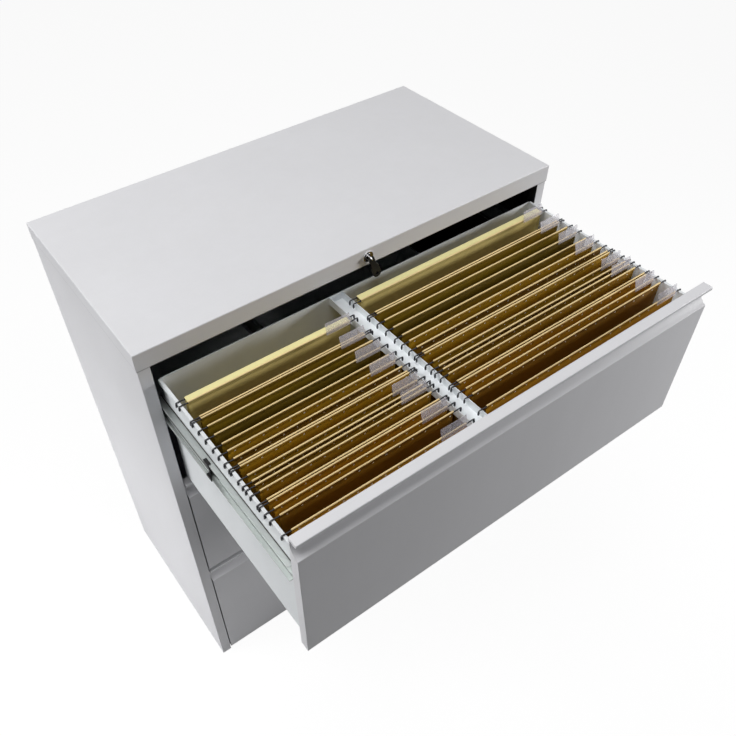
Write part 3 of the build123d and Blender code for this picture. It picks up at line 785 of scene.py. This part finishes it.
@dataclass
class SlideTrim(Dresser):
    """One slide's trim: the middle member's end cap and ball cage, and a dark strip on the drawer's member that
    paints the shadow above the slide.
    """

    # Section of a strip, as shares of its depth and height.
    STRIP: ClassVar = (
        (0.0, 0.0), (0.7, 0.0), (0.92, 0.08), (1.0, 0.25), (1.0, 0.75), (0.92, 0.92), (0.7, 1.0), (0.0, 1.0))
    drawer: Drawer
    side: Side
    cap_length: float = 15.0 * MM
    cap_notch: float = 9.0 * MM
    cap_edge: float = 0.35 * MM
    sunk_web: float = 3.0 * MM
    cage_height: float = 7.0 * MM
    cage_drop: float = 4.0 * MM
    cage_sheet: float = 0.8 * MM
    shadow_strip_height: float = 2.4 * MM
    shadow_strip_depth: float = 0.9 * MM

    def build(self) -> None:
        """Builds every piece."""
        stem = f"{self.drawer.value}_{self.side.name.lower()}"
        middle, inner = (self.frame["nodes"][f"{stem}_{member}_slide"] for member in ("middle", "inner"))
        body = f"{self.drawer.value}_middle_slides"
        cap = self.add_piece(f"{stem}_slide_cap", self._cap(middle), Finishes.BLACK_PLASTIC, body, Slot.PLASTIC)
        edge = cap.modifiers.new("moulded edges", "BEVEL")
        edge.width = self.cap_edge
        edge.segments = 2
        edge.limit_method = "ANGLE"
        self.add_piece(f"{stem}_ball_cage", self._cage(middle), Finishes.CAGE_POLYMER, body, Slot.PLASTIC)
        body = f"{self.drawer.value}_drawer"
        # Painted shadow: a dark strip where the slide's upper edge meets the tray.
        self.add_piece(f"{stem}_slide_spacer", self._shadow_strip(inner), Finishes.BLACK_PLASTIC, body, Slot.PLASTIC)

    def _cap(self, slide: Object) -> BMesh:
        """The cap on a slide's front end: its section carried forward, with a notch between two prongs.

        Args:
            slide: The slide member.

        Returns:
            The mesh.
        """
        out = self.side.value
        source = bmesh.new()
        source.from_mesh(slide.data)
        bmesh.ops.remove_doubles(source, verts=source.verts, dist=WELD)
        low, high = box_of([vert.co for vert in source.verts])
        middle, half = (low.z + high.z) / 2, (high.z - low.z) / 2
        reach = max(out * low.x, out * high.x)
        faces = [face for face in source.faces if all(abs(vert.co.y - low.y) < WELD for vert in face.verts)]
        mesh = bmesh.new()
        near, far = {}, {}
        for vert in dict.fromkeys(vert for face in faces for vert in face.verts):
            sunk = reach - out * vert.co.x > self.sunk_web and abs(vert.co.z - middle) < half - self.sunk_web
            length = self.cap_length - self.cap_notch if sunk else self.cap_length
            near[vert] = mesh.verts.new(vert.co)
            far[vert] = mesh.verts.new(vert.co - Vector((0.0, length, 0.0)))
        for face in faces:
            mesh.faces.new([near[vert] for vert in face.verts])
            mesh.faces.new([far[vert] for vert in reversed(face.verts)])
            for edge in face.edges:
                if sum(other in faces for other in edge.link_faces) == 1:
                    first, second = edge.verts
                    mesh.faces.new((near[first], near[second], far[second], far[first]))
        source.free()
        return mesh

    def _cage(self, slide: Object) -> BMesh:
        """The ball cage that lies in a slide's sunk web.

        Args:
            slide: The slide member.

        Returns:
            The mesh.
        """
        out = self.side.value
        places = sorted({round(out * vert.co.x, 6) for vert in slide.data.vertices})
        low, high = solid_boxes(slide)[0]
        web = max(place for place in places if places[-1] - place > self.sunk_web)
        bottom = (low.z + high.z) / 2 - self.cage_drop - self.cage_height / 2
        return self._strip(out * web, (low.y, high.y), bottom, self.cage_sheet, self.cage_height)

    def _shadow_strip(self, slide: Object) -> BMesh:
        """A dark strip that paints the shadow between a slide's upper edge and the tray.

        Args:
            slide: The slide member.

        Returns:
            The mesh.
        """
        low, high = solid_boxes(slide)[0]
        tray = high.x if self.side is Side.LEFT else low.x
        return self._strip(tray, (low.y, high.y), high.z, self.shadow_strip_depth, self.shadow_strip_height)

    def _strip(self, x: float, run: tuple[float, float], z: float, depth: float, height: float) -> BMesh:
        """A long strip with a rounded outer face.

        Args:
            x: Where it lies on the metal.
            run: Y of its two ends.
            z: Its lower edge.
            depth: Its thickness, away from the tray.
            height: Its height.

        Returns:
            The mesh.
        """
        mesh = bmesh.new()
        out = self.side.value * depth
        add_rings(mesh, [[(x + out * across, y, z + height * up) for across, up in self.STRIP] for y in run])
        return mesh


# --- Hanging folders ---


@dataclass
class FolderRow(Dresser):
    """One row of hanging folders: cards, hems, rods with hooked ends, tabs and the rear strip."""

    # Path of a rod's end over the metal edge, as shares of its reach and rise.
    HOOK: ClassVar = (
        (-0.04, 0.0), (0.15, 0.0), (0.28, 0.25), (0.38, 0.7), (0.52, 0.95), (0.68, 1.0), (0.84, 0.93),
        (0.95, 0.70), (1.0, 0.40))
    # Shares of the height left along the hook's straight end, whose tip carries a bead.
    HOOK_FALL: ClassVar = (0.6, 0.2, 0.0)
    # Path of a tab's rolled rim, as shares of its width and height.
    TAB_RIM: ClassVar = (
        (0.0, 1.0), (0.0, 0.25), (0.0, 0.04), (0.03, 0.0), (0.5, 0.0), (0.97, 0.0), (1.0, 0.04), (1.0, 0.25),
        (1.0, 1.0))
    row: Row
    card: float = 0.4 * MM
    sleeve_half: float = 2.0 * MM
    sleeve_bend: float = 0.7 * MM
    sleeve_height: float = 6.6 * MM
    hem_half: float = 1.35 * MM
    hem_height: float = 2.7 * MM
    hem_wrap: float = 1.2 * MM
    belly: float = 1.3 * MM
    belly_range: tuple[float, float] = (0.4, 1.0)
    belly_turns: float = 2.3
    tone_rise: float = 1.1
    tone_spread: float = 0.35
    shade_range: tuple[float, float] = (0.5, 1.7)
    rod_height: float = 4.6 * MM
    rod_thickness: float = 0.8 * MM
    wire: float = 1.15 * MM
    bead: float = 1.75 * MM
    tab_gap: float = 0.7 * MM
    tab_sheet: float = 0.3 * MM
    tab_rim: float = 0.35 * MM
    tab_rim_sides: int = 6
    tab_fold: float = 0.25
    tab_bow: float = 0.3 * MM
    tab_lean: tuple[float, float] = (0.22, 0.38)
    tab_faces: tuple[int, int] = (8, 6)
    strip_fall: float = 2.5 * MM
    strip_bend: float = 0.4 * MM
    strip_turns: float = 2.6
    strip_rows: int = 4
    columns: int = 28
    panel_rows: int = 10
    fold_turns: int = 6
    loop_turns: int = 12
    seed: int = 7
    folders: list[Box] = field(default_factory=list)

    def node(self, piece: str) -> str:
        """The name of the node that holds one kind of piece of this row."""
        return f"{self.row.value}_folder_{piece}"

    def build(self) -> None:
        """Builds and dresses every piece of the row."""
        self.folders = sorted(self._boxes("cards"), key=lambda box: -box[1].y)
        self._cards()
        self._hems()
        self._strip()
        self._rods()
        self._tabs()

    def _add(self, piece: str, mesh: BMesh, finish: Finish, slot: Slot) -> Object:
        """Adds a piece that rides with this row."""
        return self.add_piece(f"{self.row.value}_{piece}", mesh, finish, f"{self.row.value}_files", slot)

    def _boxes(self, piece: str) -> list[Box]:
        """The boxes of the solids of one kind of piece."""
        return solid_boxes(self.frame["nodes"][self.node(piece)])

    def _panel_places(self, box: Box) -> tuple[float, float]:
        """Y of the middles of a folder's rear and front panel."""
        return box[1].y - self.sleeve_half, box[0].y + self.sleeve_half

    def _cards(self) -> None:
        """The folded cards: two panels that belly a little and a rounded fold at the bottom."""
        mesh = bmesh.new()
        uv = mesh.loops.layers.uv.new("card")
        tone = mesh.verts.layers.float.new("tone")
        shade = mesh.verts.layers.float.new("shade")
        draw = random.Random(self.seed)
        for index, box in enumerate(self.folders):
            low, high = box
            rear, front = self._panel_places(box)
            profile = self._card_profile(box)
            looks = [self._look(draw, index / (len(self.folders) - 1)) for _ in (rear, front)]
            phase, swell = draw.uniform(0, math.pi), draw.uniform(*self.belly_range) * self.belly
            grid = []
            for column in range(self.columns + 1):
                share = column / self.columns
                x = low.x + share * (high.x - low.x)
                wave = swell * math.sin(math.pi * share) * math.cos(self.belly_turns * math.pi * share + phase)
                line = []
                for step, (y, z, depth, free) in enumerate(profile):
                    vert = mesh.verts.new((x, y + wave * free, z))
                    vert[tone], vert[shade] = looks[2 * step >= len(profile)]
                    line.append((vert, x - low.x, depth))
                grid.append(line)
            for first, second in zip(grid, grid[1:]):
                for step in range(len(profile) - 1):
                    corners = (first[step], first[step + 1], second[step + 1], second[step])
                    face = mesh.faces.new([corner[0] for corner in corners])
                    for loop, corner in zip(face.loops, corners):
                        loop[uv].uv = corner[1:]
            for y, look in zip((rear, front), looks):
                for vert in self._loop(mesh, box, y, self.sleeve_bend, self.sleeve_height, self.hem_wrap):
                    vert[tone], vert[shade] = look
        piece = self._add("folder_sheets", mesh, Finishes.CARD, Slot.CARD)
        thicken = piece.modifiers.new("card thickness", "SOLIDIFY")
        thicken.thickness = self.card
        thicken.offset = 0.0
        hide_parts(self.node("cards"))

    def _look(self, draw: random.Random, share: float) -> tuple[float, float]:
        """The tone and shade of one panel; the rearmost folder gets the lit tone, painted paler for the light
        on it.

        Args:
            draw: Where the chances come from.
            share: The folder's place in the row, from 0 at the rear to 1 in front.

        Returns:
            The tone and the shade.
        """
        # Painted light: the rearmost folder, unshaded by any in front, gets the lit tone.
        if share == 0.0:
            return -1.0, 1.0
        tone = share * self.tone_rise + draw.uniform(-self.tone_spread, self.tone_spread)
        return min(max(tone, 0.0), 1.0), draw.uniform(*self.shade_range)

    def _card_profile(self, box: Box) -> list[tuple[float, float, float, float]]:
        """A card's line seen from its end.

        Args:
            box: The folder's box.

        Returns:
            Y, Z, distance from the upper edge and freedom to belly, for each point.
        """
        rear, front = self._panel_places(box)
        bottom, top = box[0].z + self.card, box[1].z - self.sleeve_height / 2
        radius = (rear - front) / 2
        length = top - bottom - radius
        shares = [row / self.panel_rows for row in range(self.panel_rows + 1)]
        points = [(rear, top - share * length, share * length, math.sin(math.pi * share)) for share in shares]
        for turn in range(1, self.fold_turns):
            angle = math.pi * turn / self.fold_turns
            y = (rear + front) / 2 + radius * math.cos(angle)
            points.append((y, bottom + radius - radius * math.sin(angle), length, 0.0))
        for share in reversed(shares):
            points.append((front, top - share * length, share * length, -math.sin(math.pi * share)))
        return points

    def _hems(self) -> None:
        """The hems folded over the rods along both upper edges of each folder, paler than the card to paint the
        light on the folds.
        """
        mesh = bmesh.new()
        for box in self.folders:
            for y in self._panel_places(box):
                self._loop(mesh, box, y, self.hem_half, self.hem_height)
        self._add("folder_hems", mesh, Finishes.HEM_HIGHLIGHT, Slot.CARD)

    def _loop(self, mesh: BMesh, box: Box, y: float, half: float, height: float,
              drop: float = 0.0) -> list[BMVert]:
        """One flattened loop of card with a rounded top and bottom, along a folder's upper edge.

        Args:
            mesh: The mesh to add to.
            box: The folder's box.
            y: Middle of the loop.
            half: Half its thickness.
            height: Its height, from the folder's top.
            drop: How far its own top lies below the folder's.

        Returns:
            The loop's points.
        """
        low, high = box
        section = []
        for turn in range(self.loop_turns):
            angle = math.pi - 2 * math.pi * turn / self.loop_turns
            middle = high.z - drop - half if 2 * turn <= self.loop_turns else high.z - height + half
            section.append((y + half * math.cos(angle), middle + half * math.sin(angle)))
        return add_rings(mesh, [[(x, across, z) for across, z in section] for x in (low.x, high.x)])

    def _strip(self) -> None:
        """The pale strip that bridges the two hems of the rearmost folder."""
        low, high = self.folders[0]
        rear, front = self._panel_places(self.folders[0])
        start = Vector((low.x, rear + self.hem_half, high.z + self.card))
        run = Vector((0.0, front - rear - self.hem_half, -self.strip_fall))
        width = Vector((high.x - low.x, 0.0, 0.0))

        def surface(across: float, down: float) -> Vector:
            """A point of the strip's face."""
            bend = self.strip_bend * math.sin(self.strip_turns * math.pi * across)
            return start + across * width + down * run + Vector((0.0, 0.0, bend * down))

        mesh = bmesh.new()
        add_plate(mesh, surface, Vector((0.0, 0.0, -self.card)), self.columns, self.strip_rows)
        self._add("rear_strip", mesh, Finishes.STRIP_PAPER, Slot.CARD)

    def _rods(self) -> None:
        """The flat rods in the hems with a round hook at each end."""
        mesh = bmesh.new()
        low, high = self.folders[0]
        ends = (low.x - self.wire, high.x + self.wire)
        middle = high.z - self.sleeve_height / 2
        half, rise = self.rod_thickness / 2, self.rod_height / 2
        for box in self._boxes("rods"):
            y = (box[0].y + box[1].y) / 2
            section = [(y - half, middle + rise), (y + half, middle + rise),
                       (y + half, middle - rise), (y - half, middle - rise)]
            add_rings(mesh, [[(x, *place) for place in section] for x in ends])
            for side in Side:
                radii = [self.wire] * len(self.HOOK) + [self.bead, self.bead, self.wire]
                add_tube(mesh, self._hook(side, box, middle), radii)
        piece = self._add("folder_hooks", mesh, Finishes.ROD_ENAMEL, Slot.ROD)
        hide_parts(self.node("rods"))

    def _hook(self, side: Side, box: Box, middle: float) -> list[Vector]:
        """The path of one hooked rod end, out of the card, over the metal edge and down outside it.

        Args:
            side: The end's side.
            box: The rod's box.
            middle: Z of the rod's middle.

        Returns:
            The path's points.
        """
        corner = 0 if side is Side.LEFT else 1
        y = (box[0].y + box[1].y) / 2
        edge = self.folders[0][corner].x
        outer = box[corner].x - side.value * self.bead
        reach = side.value * abs(outer - edge)
        rise = box[1].z - self.wire - middle
        points = [Vector((edge + reach * across, y, middle + rise * up)) for across, up in self.HOOK]
        fall = points[-1].z - box[0].z
        return points + [Vector((outer, y, box[0].z + fall * share)) for share in self.HOOK_FALL]

    def _tabs(self) -> None:
        """The clear tabs: a folded window with two layers and a rolled rim that leans back over the hem."""
        mesh = bmesh.new()
        draw = random.Random(self.seed + 1)
        sheet = Vector((0.0, self.tab_sheet, 0.0))
        for box in self._boxes("tabs"):
            window = partial(self._tab_point, box, draw.uniform(*self.tab_lean))
            add_plate(mesh, window, sheet, *self.tab_faces)
            add_plate(mesh, partial(window, gap=self.tab_gap), sheet, *self.tab_faces)
            rim = [window(across, down) for across, down in self.TAB_RIM]
            add_tube(mesh, rim, [self.tab_rim] * len(rim), self.tab_rim_sides)
        piece = self._add("tab_windows", mesh, Finishes.TAB, Slot.TAB)
        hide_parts(self.node("tabs"))

    def _tab_point(self, box: Box, lean: float, across: float, down: float, gap: float = 0.0) -> Vector:
        """A point on one layer of a tab.

        Args:
            box: The tab's box.
            lean: How far it leans back for its height above the hem.
            across: Share of its width.
            down: Share of its height.
            gap: How far the layer stands in front, below the fold.

        Returns:
            The point.
        """
        low, high = box
        x, z = low.x + across * (high.x - low.x), high.z - down * (high.z - low.z)
        y = low.y - gap * min(1.0, down / self.tab_fold) + lean * max(0.0, z - self.folders[0][1].z)
        return Vector((x, y - self.tab_bow * math.sin(math.pi * across), z))


# --- Studio ---


@dataclass(frozen=True)
class Lamp:
    """A round soft lamp: its place, the point that it looks at, its diameter and its power in watts."""

    name: str
    place: Triple
    aim: Triple
    size: float
    energy: float

    def build(self) -> None:
        """Adds the lamp to the scene."""
        data = bpy.data.lights.new(self.name, "AREA")
        data.shape = "DISK"
        data.size = self.size
        data.energy = self.energy
        lamp = bpy.data.objects.new(self.name, data)
        lamp.location = self.place
        gaze = Vector(self.aim) - Vector(self.place)
        lamp.rotation_euler = gaze.to_track_quat("-Z", "Y").to_euler()
        bpy.context.collection.objects.link(lamp)


@dataclass(frozen=True)
class Studio:
    """Camera, world, lamps and floor."""

    # A key above the left side, a soft top light, a fill at the right of the fronts and a low side lamp.
    LAMPS: ClassVar = (
        Lamp("key", (-2.6, 1.1, 3.6), (0.0, -0.2, 0.6), 1.6, 66.0),
        Lamp("top", (-0.8, -0.6, 4.2), (0.0, -0.3, 0.6), 2.0, 58.0),
        Lamp("fill", (1.9, -1.4, 1.3), (0.2, -0.6, 0.8), 0.6, 25.5),
        Lamp("side", (-1.6, 0.15, 0.3), (-0.45, 0.0, 0.25), 0.5, 7.4))
    eye: Triple = (-0.66494, -1.08742, 1.80607)
    right: Triple = (0.81025, -0.58553, -0.02542)
    up: Triple = (0.44230, 0.58245, 0.68200)
    back: Triple = (-0.38453, -0.56384, 0.73091)
    lens: float = 36.83
    shift: tuple[float, float] = (0.0424, 0.0437)
    ambient: float = 0.012
    floor_size: float = 30.0
    floor_colour: Triple = (0.42, 0.42, 0.42)
    floor_clouds: float = 1.5
    floor_tone: tuple[float, float] = (0.985, 1.0)
    floor_roughness: float = 0.9
    floor_glow: float = 1.17
    floor_glow_share: float = 0.8

    def build(self) -> None:
        """Sets up the whole studio."""
        bpy.context.scene.view_settings.view_transform = "Standard"
        self._camera()
        self._world()
        for lamp in self.LAMPS:
            lamp.build()
        self._floor()

    def _camera(self) -> None:
        """The camera at the photograph's viewing angle."""
        data = bpy.data.cameras.new("photo camera")
        data.lens = self.lens
        data.shift_x, data.shift_y = self.shift
        camera = bpy.data.objects.new("photo camera", data)
        turn = Matrix((self.right, self.up, self.back)).transposed()
        camera.matrix_world = Matrix.Translation(self.eye) @ turn.to_4x4()
        bpy.context.collection.objects.link(camera)
        bpy.context.scene.camera = camera

    def _world(self) -> None:
        """A little ambient light, and white where the camera, gloss or clear plastic sees past the object."""
        world = bpy.data.worlds.new("studio")
        bpy.context.scene.world = world
        world.use_nodes = True
        graph = Graph(world.node_tree)
        path = graph.add("LightPath").outputs
        seen = graph.math("MAXIMUM", path["Is Camera Ray"], path["Is Glossy Ray"])
        seen = graph.math("MAXIMUM", seen, path["Is Transmission Ray"])
        strength = graph.span(seen, 0.0, 1.0, self.ambient, 1.0)
        graph.fill(world.node_tree.nodes["Background"], {"Color": WHITE, "Strength": strength})

    def _floor(self) -> None:
        """A plain pale floor that keeps a soft shadow."""
        mesh = bmesh.new()
        bmesh.ops.create_grid(mesh, x_segments=1, y_segments=1, size=self.floor_size / 2)
        data = bpy.data.meshes.new("floor")
        mesh.to_mesh(data)
        mesh.free()
        floor = bpy.data.objects.new("floor", data)
        bpy.context.collection.objects.link(floor)
        material, graph, shader = new_material("pale floor")
        cloud = graph.span(graph.noise(graph.place(), self.floor_clouds), *NOISE_BAND, *self.floor_tone)
        graph.fill(shader, {"Base Color": graph.scale(self.floor_colour, cloud),
                            "Roughness": self.floor_roughness, "Specular IOR Level": 0.0})
        path = graph.add("LightPath").outputs
        white = graph.add("Emission", {"Color": WHITE, "Strength": self.floor_glow})
        seen = graph.math("MAXIMUM", path["Is Camera Ray"], path["Is Transmission Ray"])
        share = graph.math("MULTIPLY", seen, self.floor_glow_share)
        mix = graph.add("MixShader", {0: share, 1: shader.outputs[0], 2: white.outputs[0]})
        graph.fill(material.node_tree.nodes["Material Output"], {"Surface": mix.outputs[0]})
        floor.data.materials.append(material)
        floor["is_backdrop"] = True


def corners(box: Box) -> list[list[float]]:
    """A box as plain lists of numbers."""
    return [[float(value) for value in corner] for corner in box]


def main() -> None:
    """Builds the whole scene."""
    logging.basicConfig(level=logging.INFO, format="%(name)s: %(message)s")
    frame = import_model()
    solid_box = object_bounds()
    finishes = Finishes()
    CabinetMetal(frame, finishes).dress()
    for drawer in Drawer:
        for side in Side:
            SlideTrim(frame, finishes, drawer, side).build()
    for row in Row:
        FolderRow(frame, finishes, row).build()
    Studio().build()
    {"cad": corners(solid_box), "visual": corners(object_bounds())}


if __name__ == "__main__":
    main()
